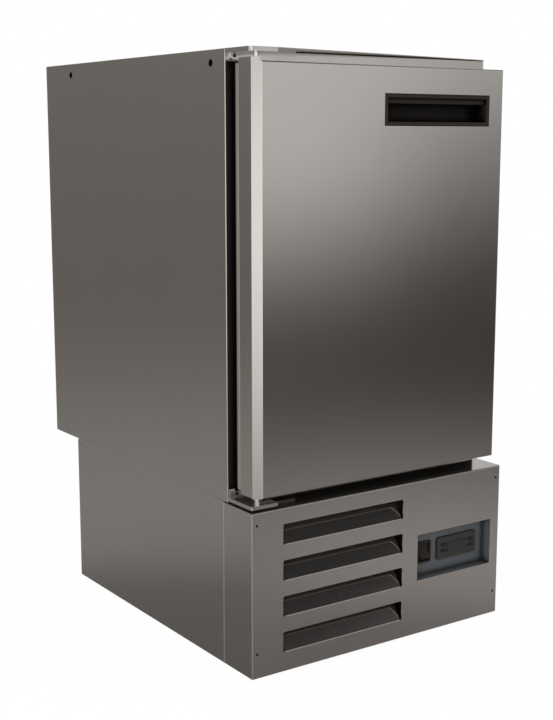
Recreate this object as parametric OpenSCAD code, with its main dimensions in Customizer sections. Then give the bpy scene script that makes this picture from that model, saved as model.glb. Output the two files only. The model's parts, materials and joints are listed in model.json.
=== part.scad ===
// Undercounter freezer: an insulated cabinet with one hinged door stands on a machine base.
// Origin: centre of the footprint, on the floor. +X is right, +Y is back, +Z is up.
// Most shapes are drawn from the front left corner of the footprint, see from_corner().

/* [Overall] */
// Width across the side panels
body_w = 460; // [440:5:500]
// Depth from the face of the door to the rear panel
body_d = 608; // [600:2:650]
// Height from the floor to the top panel
body_h = 850; // [840:5:900]
// Height of the machine base
base_h = 237; // [234:1:250]
// Depth of the machine base
base_d = 527; // [520:1:560]
// Thickness of the folded sheet metal
sheet_t = 1; // [0.8:0.1:1.2]

/* [Cabinet] */
// Depth in front of the cabinet that the door takes
door_zone = 60; // [58:1:64]
// Insulated wall, from the outside to the cavity
wall_t = 50; // [46:1:54]
// Shadow gap between the base and the cabinet
seam = 2; // [1.5:0.5:3]
// Thickness of the folded front edge of a side panel
hem_t = 2; // [1.6:0.1:2.4]
// Depth of that folded edge
hem_d = 12; // [10:1:12]
// Depth of the black frame round the opening
frame_d = 12; // [12:1:16]
// Height of the front rails above and below the opening's frame
rail_h = 16; // [15:1:19]
// Corner radius of the cavity
cavity_r = 12; // [6:1:20]
// Thickness of the liner
liner_t = 1; // [0.8:0.1:1.2]
// Diameter of the fixing holes in the side panels
side_hole_d = 10; // [8:0.5:12]
// Distance of those holes below the top
side_hole_drop = 17; // [15:1:25]
// Distance of the front hole behind the cabinet's front edge
side_hole_front = 35; // [30:1:60]
// Distance of the rear hole before the rear panel
side_hole_rear = 91; // [60:1:120]

/* [Door] */
// Gap beside the door, at each side
door_side_gap = 8; // [7:0.5:9]
// Gap above the door
door_top_gap = 17.5; // [16:0.5:20]
// Gap between the base and the door
door_low_gap = 18; // [17:0.5:20]
// Depth of the door's steel pan
door_d = 39; // [36:1:41]
// Width of the bevel along the door's upright edges
door_bevel = 10.4; // [8:0.2:11]
// Outer radius of the bends round the door's face
door_bend = 2; // [1.6:0.1:2.4]
// Step from the door's side to its gasket
gasket_inset = 8; // [7:0.5:9]
// Width of the gasket
gasket_w = 22; // [20:1:24]
// Clearance between the gasket and the frame
gasket_gap = 0.3; // [0.2:0.1:0.6]

/* [Handle] */
// Width of the recessed handle
handle_w = 193.4; // [180:0.2:210]
// Height of the recessed handle
handle_h = 42.2; // [38:0.2:50]
// Depth of its finger recess
handle_d = 24; // [20:1:26]
// Width of its visible rim
handle_rim = 4.6; // [4.4:0.1:6]
// Distance from the handle to the door's free side
handle_side = 36.6; // [30:0.2:50]
// Distance from the handle to the top of the door
handle_drop = 38; // [30:1:60]
// Height of the grip lip in the recess
lip_h = 8; // [6:0.5:10]

/* [Hinges] */
// Distance of the hinge axis from the side panel's outer face
hinge_x = 17; // [16:0.5:18]
// Distance of the hinge axis behind the door's face
hinge_y = 12; // [11:0.5:13]
// Thickness of the hinge arms
arm_t = 5; // [4:0.5:5]
// Width of the hinge arms at the front
arm_w = 43; // [36:1:50]
// Width of the hinge flanges on the cabinet
flange_w = 112; // [100:1:125]
// Thickness of those flanges
flange_t = 3; // [2:0.5:3]
// Diameter of the hinge pins between arm and door
pin_d = 7; // [6.5:0.1:8]
// Diameter of their tips inside the door
tip_d = 5; // [4:0.1:5.5]
// Length of those tips
tip_l = 18; // [14:1:22]
// Radius of the upper arm's near corner
arm_r = 6; // [4:0.5:8]
// Radial running clearance of the tips
tip_clearance = 0.05; // [0.03:0.01:0.08]
// Height of the bush plate on top of the door
bush_h = 5; // [4:0.5:5.5]
// Thickness of the bush flange under the door
bush_foot = 2.5; // [2:0.5:3]

/* [Front cover] */
// Depth of the cover's side returns
cover_return = 70; // [66:1:72]
// Number of louvres
louvres = 4; // [3:1:4]
// Distance between the louvres and the control window
louvre_side = 29; // [26:0.5:40]
// Height of a louvre opening
louvre_h = 30; // [26:1:32]
// Distance of the highest louvre below the cover's upper edge
louvre_drop = 23; // [20:1:30]
// Distance of the louvres from the left side
louvre_x = 52; // [46:1:58]
// Height of the lowest louvre's lower edge
louvre_z = 28; // [24:1:32]
// Corner radius of a louvre opening
louvre_r = 3; // [2:0.5:4]
// Angle that a louvre flap leans back
flap_angle = 35; // [25:1:40]
// Width of the control window
window_w = 147; // [140:1:150]
// Height of the control window
window_h = 70.5; // [66:0.5:76]
// Distance from the control window to the right side
window_side = 17.5; // [16:0.5:22]
// Height of the control window's lower edge
window_z = 83.5; // [78:0.5:90]
// Distance of the cover screws from the sides
screw_side = 8.5; // [8:0.5:10]
// Distance of the cover screws from the cover's upper edge
screw_drop = 18; // [15:1:24]
// Height of the lower cover screws
screw_low = 35.5; // [30:0.5:40]
// Shank diameter of the cover screws
screw_d = 4; // [3:0.5:4]

/* [Controls] */
// Depth of the control plate behind the cover
tray_d = 18; // [16:1:22]
// Width of the controller's front
controller_w = 78; // [74:1:80]
// Height of the controller's front
controller_h = 33.5; // [32:0.5:36]
// Distance of the controller from the window's left edge
controller_x = 52.8; // [50:0.2:56]
// Thickness of the controller's front
controller_t = 3; // [2.5:0.5:4]
// Width of a key
key_w = 8.8; // [8:0.2:10]
// Height of a key
key_h = 4; // [3:0.2:5]
// Distance between the two rows of keys
key_pitch = 9.4; // [8:0.2:12]
// Distance from the controller's left edge to the left keys
key_side = 8; // [6:0.5:8]
// Distance between the two columns of keys
key_span = 56; // [54:0.5:58]
// Travel of a key
key_travel = 0.6; // [0.4:0.1:0.8]
// Width of the rocker switch's frame
switch_w = 25.5; // [24:0.5:27]
// Height of the rocker switch's frame
switch_h = 33; // [31:0.5:36]
// Distance of the rocker switch from the window's left edge
switch_x = 15; // [12:0.5:16]
// Tilt of the rocker from its middle position
rocker_tilt = 11; // [8:1:12]

/* [Cavity fittings] */
// Diameter of the shelf's border wire
shelf_wire = 6; // [5:0.5:7]
// Diameter of the shelf's bars
shelf_bar = 4; // [3:0.5:4]
// Number of bars across the shelf
shelf_bars = 13; // [9:1:17]
// Height of the lower shelf above the cavity floor
shelf_low = 150; // [130:5:170]
// Distance between the shelves
shelf_pitch = 170; // [150:5:180]
// Depth of the evaporator chamber behind the duct panel
chamber_d = 96; // [90:1:110]
// Number of fins of the evaporator
cooler_fins = 28; // [16:1:34]

/* [Machine] */
// Distance from the condenser's fin block to the control window
condenser_side = 35.5; // [33:0.5:50]
// Clearance between the condenser and the rails above it
condenser_room = 3; // [2:0.5:10]
// Depth of the condenser's fin block
condenser_d = 44; // [40:1:48]
// Number of fins of the condenser
condenser_fins = 27; // [15:2:35]
// Outer diameter of the condenser tubes
tube_d = 8; // [7:0.5:9]
// Distance from the tips of the condenser fan to the edge of the condenser
fan_edge = 9; // [9:1:15]
// Number of blades of the condenser fan
fan_blades = 5; // [3:1:6]
// Outer diameter of the compressor shell
compressor_d = 146; // [130:2:156]
// Height of the compressor shell
compressor_h = 158; // [150:2:162]

/* [Hidden] */
$fn = 48;
eps = 0.01;
fit = 0.2;

cab_z0 = base_h + seam;
cab_h = body_h - cab_z0;
foam_y1 = body_d - 2 * sheet_t;
cav_x0 = wall_t;
cav_w = body_w - 2 * wall_t;
cav_z0 = cab_z0 + wall_t;
cav_z1 = body_h - wall_t;
cav_h = cav_z1 - cav_z0;
cav_y1 = body_d - wall_t;
frame_y1 = door_zone + frame_d;
frame_z0 = cab_z0 + rail_h;
frame_z1 = body_h - rail_h;
liner_flange = 10;
top_flange = 8;

side_hole_z = body_h - side_hole_drop;
side_holes_y = [door_zone + side_hole_front, body_d - side_hole_rear];
insert_wall = 1.5;
insert_l = 16;

door_x0 = door_side_gap;
door_w = body_w - 2 * door_side_gap;
door_z0 = base_h + door_low_gap;
door_z1 = body_h - door_top_gap;
door_h = door_z1 - door_z0;
pan_lip = gasket_inset + 2;
gasket_d = door_zone - gasket_gap - door_d - sheet_t;
plateau_in = gasket_inset + gasket_w + 14;
plateau_d = 9;
plateau_r = 16;

handle_x0 = door_x0 + door_w - handle_side - handle_w;
handle_z0 = door_z1 - handle_drop - handle_h;
handle_step = 2;
handle_back = 2;
handle_groove = 1;

upper_arm_z = body_h - sheet_t - arm_t;
lower_arm_z = cab_z0 + 2.5;
bush_d = tip_d + 6;
stud_d = pin_d - 1;
ear_w = 8;
ear_h = 4;
flange_x0 = 8;
flange_r = 5;
spare_hole_x = 13.5;
hinge_screws_x = [66, 94.5];
hinge_screw_d = 5;
screw_slot = [4, 1.5, 1.4];
rail_slit = 1.2;

cover_z1 = base_h;
pan_t = sheet_t;
skin_h = cover_z1 - pan_t;
skin_gap = 0.8;
skin_bend = 3;
cover_bend = 1.5;
flap_bend = 1;
flap_l = louvre_h - flap_bend;
window_x = body_w - window_side - window_w;
louvre_w = window_x - louvre_side - louvre_x;
louvre_pitch = (cover_z1 - louvre_drop - louvre_h - louvre_z) / (louvres - 1);
screw_xs = [screw_side, body_w - screw_side];
screw_zs = [screw_low, cover_z1 - screw_drop];
screw_head_d = 2 * screw_d;

tray_wall = 1.5;
tray_rim = 1;
tray_lip = 3.4;
tray_ledge = 2;
plate_y = tray_d;
plate_t = 2;
controller_x0 = window_x + controller_x;
controller_z0 = window_z + (window_h - controller_h) / 2;
housing_w = controller_w - 7;
housing_h = controller_h - 4.5;
housing_x0 = controller_x0 + (controller_w - housing_w) / 2;
housing_z0 = controller_z0 + (controller_h - housing_h) / 2;
housing_l = 55;
switch_x0 = window_x + switch_x;
switch_z0 = window_z + (window_h - switch_h) / 2;
switch_rim = 2;
switch_body_l = 22;
rocker_pin_d = 3;
box_d = 82;

pan_lip_h = 18;
rail_t = 2;
rail_web = 28;
rail_flange = 30;
rail_y0 = cover_return + 4;
upright_w = screw_side + 2;
post_w = 30;

rail_z0 = cab_z0 - rail_web;
condenser_x0 = 52;
condenser_y0 = 32;
condenser_z0 = 18;
condenser_w = window_x - condenser_side - condenser_x0;
condenser_h = rail_z0 - condenser_room - condenser_z0;
fan_d = min(condenser_w, condenser_h) - 2 * fan_edge;
condenser_y1 = condenser_y0 + condenser_d;
fan_x = condenser_x0 + condenser_w / 2;
fan_z = condenser_z0 + condenser_h / 2;
fan_y = condenser_y1 + 24;
shroud_d = 20;
compressor_x = 152;
compressor_y = 335;
compressor_z0 = 22;
grommet_h = compressor_z0 - pan_t;

duct_y = cav_y1 - chamber_d;
cooler_x0 = cav_x0 + 34;
cooler_w = cav_w - 72;
cooler_h = 132;
cooler_y0 = duct_y + 18;
cooler_d = 62;
cooler_fan_d = 118;
cooler_fan_drop = 82;
cooler_gap = 11;
cooler_fan_x = body_w / 2;
cooler_fan_z = cav_z1 - cooler_fan_drop;
cooler_fan_y = duct_y + sheet_t;
cooler_ring_d = cooler_fan_d + 10;
cooler_z0 = cooler_fan_z - cooler_ring_d / 2 - cooler_gap - cooler_h;
drip_z0 = cooler_z0 - 24;
drain_x = cav_x0 + cav_w - 30;
drain_y = duct_y + 25;
drain_d = 16;

shelf_zs = [cav_z0 + shelf_low, cav_z0 + shelf_low + shelf_pitch];
shelf_x0 = cav_x0 + 6;
shelf_y0 = frame_y1 + 8;
shelf_w = cav_w - 12;
shelf_d = duct_y - 12 - shelf_y0;
runner_w = 22;
runner_h = 16;
runner_t = 1.5;

evaporation_h = 56;
tray_side = 34;
tray_gap = 30;
tray_depth = 185;

suction_d = 9;
liquid_d = 6;
bend_r = 14;

// Puts the origin at the centre of the footprint
module from_corner() translate([-body_w / 2, -body_d / 2, 0]) children();

// Draws a shape of the left side on the right side
module on_right() mirror([1, 0, 0]) from_corner() children();

// Box from its lowest corner to its highest
module block(low, high) translate(low) cube(high - low);

// Extrudes a drawing of X and Z along Y
module along_y(y, length) translate([0, y + length, 0]) rotate([90, 0, 0]) linear_extrude(length) children();

// Extrudes a drawing of Y and Z along X
module along_x(x, length) translate([x, 0, 0]) rotate([90, 0, 90]) linear_extrude(length) children();

// Rounded rectangle from its lower left corner
module rounded(size, r) {
    translate([r, 0]) square([size.x - 2 * r, size.y]);
    translate([0, r]) square([size.x, size.y - 2 * r]);
    for (x = [r, size.x - r], y = [r, size.y - r]) translate([x, y]) circle(r);
}

// Slot with round ends, from its lower left corner
module slot_shape(w, h) {
    translate([0, w / 2]) square([w, h - w]);
    for (y = [w / 2, h - w / 2]) translate([w / 2, y]) circle(d = w);
}

// Sheet folded once, with its outer corner at the origin and legs along +X and +Y
module folded(leg_x, leg_y, t, r) {
    translate([r, 0]) square([leg_x - r, t]);
    translate([0, r]) square([t, leg_y - r]);
    intersection() {
        translate([r, r]) difference() {
            circle(r);
            circle(r - t);
        }
        square(r);
    }
}

// Drawing whose corner at the origin is cut off, with a round corner in its place
module rounded_corner(r) {
    children();
    translate([r, r]) circle(r);
}

// Rectangle between two corners whose upper left corner is a bend
module bent_corner(low, high, r) {
    translate([low.x + r, low.y]) square([high.x - low.x - r, high.y - low.y]);
    translate(low) square([high.x - low.x, high.y - low.y - r]);
    translate([low.x + r, high.y - r]) circle(r);
}

// Round bar or bore along X, Y or Z from a start point
module bar_x(at, d, length) translate(at) rotate([0, 90, 0]) cylinder(d = d, h = length);
module bar_y(at, d, length) translate(at) rotate([-90, 0, 0]) cylinder(d = d, h = length);
module bar_z(at, d, length) translate(at) cylinder(d = d, h = length);

// Quarter bend of a tube whose runs lie along the axes
module elbow(at, into, out, d, r) {
    multmatrix([
        [-out.x, into.x, -(out.y * into.z - out.z * into.y), at.x + r * (out.x - into.x)],
        [-out.y, into.y, -(out.z * into.x - out.x * into.z), at.y + r * (out.y - into.y)],
        [-out.z, into.z, -(out.x * into.y - out.y * into.x), at.z + r * (out.z - into.z)],
        [0, 0, 0, 1]
    ]) rotate_extrude(angle = 90) translate([r, 0]) circle(d = d);
}

function heading(a, b) = (b - a) / norm(b - a);

// Straight run of a tube between two points that share two coordinates
module straight(a, b, d) {
    dir = heading(a, b);
    translate(a) rotate([0, acos(dir.z), atan2(dir.y, dir.x)]) cylinder(d = d, h = norm(b - a));
}

// Tube along a route whose runs lie along the axes, with round bends
module tube_run(route, d, r) {
    last = len(route) - 1;
    for (i = [0:last - 1]) {
        dir = heading(route[i], route[i + 1]);
        straight(route[i] + (i > 0 ? r : 0) * dir, route[i + 1] - (i < last - 1 ? r : 0) * dir, d);
        if (i < last - 1) elbow(route[i + 1], dir, heading(route[i + 1], route[i + 2]), d, r);
    }
}

// Side panel with a folded front edge and a rear flange
module side_panel() {
    difference() {
        translate([0, 0, cab_z0]) linear_extrude(cab_h - sheet_t) {
            translate([0, door_zone + hem_t / 2]) square([sheet_t, body_d - door_zone - hem_t / 2]);
            translate([0, door_zone + hem_t / 2]) square([hem_t, hem_d - hem_t / 2]);
            translate([hem_t / 2, door_zone + hem_t / 2]) circle(d = hem_t);
            translate([0, body_d - 2 * sheet_t]) square([hem_d, sheet_t]);
        }
        for (y = side_holes_y) bar_x([-1, y, side_hole_z], side_hole_d, sheet_t + 2);
    }
}
module side_panel_left() color("#8d8680") from_corner() side_panel();
module side_panel_right() color("#8d8680") on_right() side_panel();

// Top sheet, whose front edge runs out to a nose over the hinge
module top_panel() color("#a39c95") from_corner() {
    translate([0, 0, body_h - sheet_t]) linear_extrude(sheet_t)
        rounded_corner(arm_r)
            polygon([[0, arm_r], [arm_r, 0], [arm_w, 0], [body_w, door_zone], [body_w, body_d], [0, body_d]]);
    for (x = [sheet_t, body_w - 2 * sheet_t])
        block([x, frame_y1 + 2, body_h - top_flange], [x + sheet_t, foam_y1 - 2, body_h - sheet_t]);
}

module rear_panel() color("#8d8680") from_corner()
    block([sheet_t, body_d - sheet_t, cab_z0], [body_w - sheet_t, body_d, body_h - sheet_t]);

module cabinet_floor() color("#8d8680") from_corner() difference() {
    union() {
        block([hem_t, door_zone, cab_z0], [body_w - hem_t, foam_y1, cab_z0 + sheet_t]);
        block([sheet_t, frame_y1, cab_z0], [body_w - sheet_t, foam_y1, cab_z0 + sheet_t]);
    }
    pipe_channels();
    bar_z([drain_x, drain_y, cab_z0 - 1], drain_d + 2 * fit, sheet_t + 2);
}

// Front rail: a face with a return that holds the black frame
module front_rail(y, z, h, return_z) along_x(hem_t, body_w - 2 * hem_t) translate([y, z]) {
    square([sheet_t, h]);
    translate([0, return_z]) square([frame_y1 - y, sheet_t]);
}
// Holes of the rails and the frame behind the hinges' spare holes
module spare_holes() for (z = hinge_screw_zs) bar_y([spare_hole_x, door_zone - 1, z], hinge_screw_d, 4);

// The upper rail stops short of the top panel, the lower one lies behind the frame's apron
module front_rails() color("#a39c95") from_corner() difference() {
    low = cab_z0 + sheet_t;
    union() {
        front_rail(door_zone, frame_z1, rail_h - sheet_t - rail_slit, 0);
        front_rail(door_zone + sheet_t, low, frame_z0 - low, frame_z0 - low - sheet_t);
    }
    spare_holes();
}

// Outline of the cavity, grown by a margin
module cavity_outline(grow)
    translate([cav_x0 - grow, cav_z0 - grow])
        rounded([cav_w + 2 * grow, cav_h + 2 * grow], cavity_r + grow);

// Black frame round the opening, with an apron before the lower rail
module front_frame() color("#17181a") from_corner() difference() {
    union() {
        block([hem_t, door_zone, frame_z0], [body_w - hem_t, frame_y1, frame_z1]);
        block([hem_t, door_zone, cab_z0 + sheet_t], [body_w - hem_t, door_zone + sheet_t, frame_z1]);
    }
    along_y(door_zone - 1, frame_d + 2) cavity_outline(0);
    spare_holes();
}

// Channels through the foam and the floor for the two refrigerant pipes
module pipe_channels() {
    tube_run(suction_route(), suction_d + 2 * fit, bend_r);
    tube_run(liquid_route(), liquid_d + 2 * fit, bend_r);
}

module insulation() color("#d9c389") from_corner() difference() {
    block([sheet_t, frame_y1, cab_z0 + sheet_t], [body_w - sheet_t, foam_y1, body_h - sheet_t]);
    along_y(frame_y1 - 1, cav_y1 + liner_t - frame_y1 + 1) cavity_outline(liner_t);
    along_y(frame_y1 - 1, liner_t + 1) cavity_outline(liner_flange);
    for (x = [sheet_t - 1, body_w - 2 * sheet_t])
        block([x, frame_y1 + 2, body_h - top_flange], [x + sheet_t + 1, foam_y1 - 2, body_h]);
    for (y = side_holes_y, x = [0, body_w - insert_l])
        bar_x([x, y, side_hole_z], side_hole_d + 2 * insert_wall, insert_l);
    bar_z([drain_x, drain_y, cab_z0], drain_d + 2 * fit, wall_t);
    pipe_channels();
}

// Inner box with rounded corners and a flange behind the frame
module liner() color("#c9ccce") from_corner() difference() {
    union() {
        along_y(frame_y1, cav_y1 + liner_t - frame_y1) cavity_outline(liner_t);
        along_y(frame_y1, liner_t) cavity_outline(liner_flange);
    }
    along_y(frame_y1 - 1, cav_y1 - frame_y1 + 1) cavity_outline(0);
    bar_z([drain_x, drain_y, cav_z0 - liner_t - 1], drain_d + 2 * fit, liner_t + 2);
    pipe_channels();
}

// Blind fixing inserts behind the holes of the side panels
module side_insert(y) difference() {
    bar_x([sheet_t, y, side_hole_z], side_hole_d + 2 * insert_wall, insert_l - sheet_t);
    bar_x([0, y, side_hole_z], side_hole_d, insert_l - insert_wall);
}
module side_inserts() color("#141414") for (y = side_holes_y) {
    from_corner() side_insert(y);
    on_right() side_insert(y);
}

// Angle that carries one side of a shelf
module shelf_runner(z) along_y(shelf_y0, shelf_d) translate([cav_x0, z]) {
    translate([0, -runner_h]) square([runner_t, runner_h]);
    translate([0, -runner_t]) square([runner_w, runner_t]);
}
module shelf_runners() color("#b9bcbe") for (z = shelf_zs) {
    from_corner() shelf_runner(z);
    on_right() shelf_runner(z);
}

// Wire shelf: a bent border wire, cross wires and bars, in one weld
module wire_shelf(z) {
    r = 18;
    wire_z = z + shelf_wire / 2;
    x0 = shelf_x0 + shelf_wire / 2;
    y0 = shelf_y0 + shelf_wire / 2;
    w = shelf_w - shelf_wire;
    d = shelf_d - shelf_wire;
    step = (w - 2 * r) / (shelf_bars - 1);
    translate([x0, y0, wire_z]) {
        for (y = [0, d]) bar_x([r, y, 0], shelf_wire, w - 2 * r);
        for (x = [0, w]) bar_y([x, r, 0], shelf_wire, d - 2 * r);
        for (corner = [[r, r, 180], [w - r, r, 270], [w - r, d - r, 0], [r, d - r, 90]])
            translate([corner.x, corner.y, 0]) rotate(corner.z)
                rotate_extrude(angle = 90) translate([r, 0]) circle(d = shelf_wire);
        for (i = [0:shelf_bars - 1]) bar_y([r + i * step, 0, 1], shelf_bar, d);
        bar_x([0, d / 2, -1], shelf_bar, w);
    }
}
module upper_shelf() color("#d4d6d8") from_corner() wire_shelf(shelf_zs[1]);
module lower_shelf() color("#d4d6d8") from_corner() wire_shelf(shelf_zs[0]);

// Panel before the evaporator, with a fan opening and return air slots
module duct_panel() color("#c9ccce") from_corner() difference() {
    union() {
        along_y(duct_y, sheet_t) translate([cav_x0 + fit, cav_z0 + fit])
            rounded([cav_w - 2 * fit, cav_h - 2 * fit], cavity_r);
        for (x = [cav_x0 + fit, cav_x0 + cav_w - fit - sheet_t])
            block([x, duct_y, cav_z0 + 20], [x + sheet_t, duct_y + 15, cav_z1 - 20]);
    }
    for (ring = [12, 28, 44], turn = [0:45:315])
        along_y(duct_y - 1, sheet_t + 2) translate([cooler_fan_x, cooler_fan_z]) rotate(turn) fan_slot(ring);
    for (i = [0:9]) along_y(duct_y - 1, sheet_t + 2)
        translate([cav_x0 + 45 + i * (cav_w - 98) / 9, cav_z0 + 40]) slot_shape(8, 70);
}

// Straight slot of the fan grille, at one distance from the middle
module fan_slot(ring) {
    length = 0.55 * ring;
    translate([ring, -length / 2 - 2.5]) slot_shape(5, length + 5);
}

// Evaporator: fins on a serpentine of tubes between two end plates
module evaporator() color("#b8c4cc") from_corner() {
    step = cooler_w / (cooler_fins - 1);
    for (i = [0:cooler_fins - 1])
        block([cooler_x0 + i * step, cooler_y0, cooler_z0],
              [cooler_x0 + i * step + 0.8, cooler_y0 + cooler_d, cooler_z0 + cooler_h]);
    cooler_tubes();
    for (x = [cooler_x0 + 2 * step, cooler_x0 + cooler_w - 2 * step])
        block([x, cooler_y0 + cooler_d, cooler_z0 + 30], [x + step + 0.8, cav_y1, cooler_z0 + 50]);
}
module cooler_tubes() {
    pitch = cooler_h / 4;
    for (row = [0, 1]) {
        y = cooler_y0 + cooler_d * (row == 0 ? 0.27 : 0.73);
        for (i = [0:3]) bar_x([cooler_x0 - 6, y, cooler_z0 + pitch * (i + 0.5)], tube_d, cooler_w + 12.8);
        for (i = [0, 2]) return_bend([cooler_x0 - 6, y, cooler_z0 + pitch * (i + 1)], pitch, -1);
        return_bend([cooler_x0 + cooler_w + 6.8, y, cooler_z0 + pitch * 2], pitch, 1);
    }
}

// Half turn that joins two tubes one above the other
module return_bend(at, pitch, side) translate(at) rotate([90, 0, 0]) rotate(side > 0 ? -90 : 90)
    rotate_extrude(angle = 180) translate([pitch / 2, 0]) circle(d = tube_d);

// Ring, arms and motor of the evaporator fan
module evaporator_fan_mount() color("#1d1e20") from_corner() {
    ring_l = 26;
    translate([cooler_fan_x, cooler_fan_y, cooler_fan_z]) rotate([-90, 0, 0]) {
        difference() {
            cylinder(d = cooler_ring_d, h = ring_l);
            translate([0, 0, -1]) cylinder(d = cooler_fan_d + 4, h = ring_l + 2);
        }
        translate([0, 0, ring_l - 4]) for (turn = [45:90:315]) rotate(turn)
            translate([18, -4, 0]) cube([cooler_fan_d / 2 - 14, 8, 4]);
        translate([0, 0, ring_l - 6]) cylinder(d = 42, h = 36);
        translate([0, 0, 8]) cylinder(d = cooler_shaft_d, h = ring_l - 12);
    }
}
cooler_shaft_d = 5;

// Axial fan on its shaft: a hub closed at the front, with curved and pitched blades
module axial_fan(d, hub_d, hub_l, blades, chord, pitch, shaft_d) {
    difference() {
        union() {
            cylinder(d = hub_d, h = hub_l);
            intersection() {
                for (i = [0:blades - 1]) rotate(i * 360 / blades)
                    translate([0, 0, hub_l / 2]) rotate([pitch, 0, 0]) curved_blade(d / 2, chord);
                translate([0, 0, -hub_l]) cylinder(d = d, h = 3 * hub_l);
            }
        }
        translate([0, 0, 3]) difference() {
            cylinder(d = hub_d - 5, h = hub_l);
            cylinder(d = shaft_d + 8, h = hub_l - 3);
        }
        translate([0, 0, 3]) cylinder(d = shaft_d + 2 * tip_clearance, h = hub_l);
    }
}

// Blade: a strip of a thin walled cylinder that runs outward along +X
module curved_blade(reach, chord) {
    arc_r = chord;
    t = 1.6;
    translate([4, 0, -arc_r * 0.87]) rotate([0, 90, 0]) difference() {
        cylinder(r = arc_r, h = reach);
        translate([0, 0, -1]) cylinder(r = arc_r - t, h = reach + 2);
        translate([-arc_r * 0.87, -2 * arc_r, -1]) cube([2 * arc_r, 4 * arc_r, reach + 2]);
    }
}
module evaporator_fan() color("#2a2c2f") from_corner()
    translate([cooler_fan_x, cooler_fan_y + 3, cooler_fan_z]) rotate([-90, 0, 0])
        axial_fan(cooler_fan_d, 36, 16, 5, 34, 28, cooler_shaft_d);

// Tray under the evaporator, with a spout over the drain tube
module drip_tray() color("#dfe2e4") from_corner() difference() {
    x0 = cooler_x0 - 16;
    x1 = cav_x0 + cav_w - 8;
    y0 = duct_y + sheet_t;
    y1 = cav_y1;
    union() {
        block([x0, y0, drip_z0], [x1, y1, drip_z0 + 18]);
        bar_z([drain_x, drain_y, drip_z0 - 12], drain_d, 13);
    }
    block([x0 + 1.5, y0 + 1.5, drip_z0 + 1.5], [x1 - 1.5, y1 - 1.5, drip_z0 + 20]);
    bar_z([drain_x, drain_y, drip_z0 - 14], drain_d - 3, 20);
}

module drain_tube() color("#3b3d40") from_corner() difference() {
    low = evaporation_h + 6;
    high = drip_z0 - 12;
    bar_z([drain_x, drain_y, low], drain_d, high - low);
    bar_z([drain_x, drain_y, low - 1], drain_d - 4, high - low + 2);
}

// Arm of a hinge over or under the door, with a round near corner and the bore of its pin
module hinge_arm(z, r) translate([0, 0, z]) difference() {
    linear_extrude(arm_t) rounded_corner(r) polygon([
        [0, r], [r, 0], [arm_w, 0], [arm_w, door_zone],
        [hem_t, door_zone], [hem_t, door_zone - 1], [0, door_zone - 1]]);
    translate([hinge_x, hinge_y, -1]) cylinder(d = stud_d, h = arm_t + 2);
}
// The hole nearest the side stays empty
module screw_holes(z) for (x = concat(spare_hole_x, hinge_screws_x))
    bar_y([x, door_zone - flange_t - 1, z], hinge_screw_d, flange_t + 2);

upper_flange_z = frame_z1 + 1;
lower_flange_z1 = frame_z0 - 1;
upper_screw_z = (upper_flange_z + upper_arm_z) / 2 + 1.5;
lower_screw_z = (lower_arm_z + arm_t + lower_flange_z1) / 2;
hinge_screw_zs = [upper_screw_z, lower_screw_z];

module upper_hinge_bracket() color("#b4aea8") from_corner() {
    hinge_arm(upper_arm_z, arm_r);
    difference() {
        flange_h = body_h - sheet_t - upper_flange_z;
        along_y(door_zone - flange_t, flange_t) translate([flange_x0, upper_flange_z]) {
            translate([flange_r, 0]) square([flange_w - flange_x0 - flange_r, flange_h]);
            translate([0, flange_r]) square([flange_r, flange_h - flange_r]);
            translate([flange_r, flange_r]) circle(flange_r);
        }
        screw_holes(upper_screw_z);
    }
}
module lower_hinge_bracket() color("#b4aea8") from_corner() {
    hinge_arm(lower_arm_z, door_bend);
    difference() {
        union() {
            block([hem_t, door_zone - flange_t, lower_arm_z + arm_t], [flange_w, door_zone, lower_flange_z1]);
            block([hem_t, door_zone - flange_t, lower_flange_z1 - 1],
                  [hem_t + ear_w, door_zone, lower_flange_z1 + ear_h]);
        }
        screw_holes(lower_screw_z);
    }
}

// Hinge pin with its tip up: a stud in the arm, a shoulder and a tip in the door's bush
module hinge_pin(shoulder) {
    translate([0, 0, -arm_t]) cylinder(d = stud_d, h = arm_t);
    cylinder(d = pin_d, h = shoulder);
    translate([0, 0, shoulder]) cylinder(d = tip_d, h = tip_l);
}
pin_gap = 0.3;
module hinge_pins() color("#d8d8d8") from_corner() {
    lower_seat_z = lower_arm_z + arm_t;
    translate([hinge_x, hinge_y, lower_seat_z]) hinge_pin(door_z0 - bush_foot - pin_gap - lower_seat_z);
    translate([hinge_x, hinge_y, upper_arm_z]) mirror([0, 0, 1])
        hinge_pin(upper_arm_z - door_z1 - bush_h - pin_gap);
}
module hinge_screws() color("#2b2b2b") from_corner()
    for (z = hinge_screw_zs, x = hinge_screws_x) difference() {
        bar_y([x, door_zone - flange_t, z], hinge_screw_d, flange_t);
        translate([x - screw_slot.x / 2, door_zone - flange_t - 0.1, z - screw_slot.z / 2]) cube(screw_slot);
    }

// Plan of the door with bevelled front edges, set in all round by a margin
module door_plan(inset, depth) {
    half_plan(inset, depth);
    translate([2 * door_x0 + door_w, 0]) mirror([1, 0]) half_plan(inset, depth);
}
// Left half of that plan and a little more, with a bend at each end of the bevel
module half_plan(inset, depth) {
    x = door_x0 + inset;
    y = inset;
    b = door_bevel - inset * (2 - sqrt(2));
    r = door_bend - inset;
    t = r * tan(22.5);
    s = t / sqrt(2);
    middle = door_x0 + door_w / 2 + 1;
    polygon([[x, depth], [x, y + b + t], [x + s, y + b - s], [x + b - s, y + s], [x + b + t, y],
        [middle, y], [middle, depth]]);
    translate([x + r, y + b + t]) circle(r);
    translate([x + b + t, y + r]) circle(r);
}
// Form of the door's pan, with a bend along its upper and lower front edges
module door_form(inset) intersection() {
    translate([0, 0, door_z0]) linear_extrude(door_h) door_plan(inset, door_d - inset);
    along_x(door_x0, door_w) translate([inset, door_z0 + inset])
        rounded([2 * door_d, door_h - 2 * inset], door_bend - inset);
}
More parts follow.
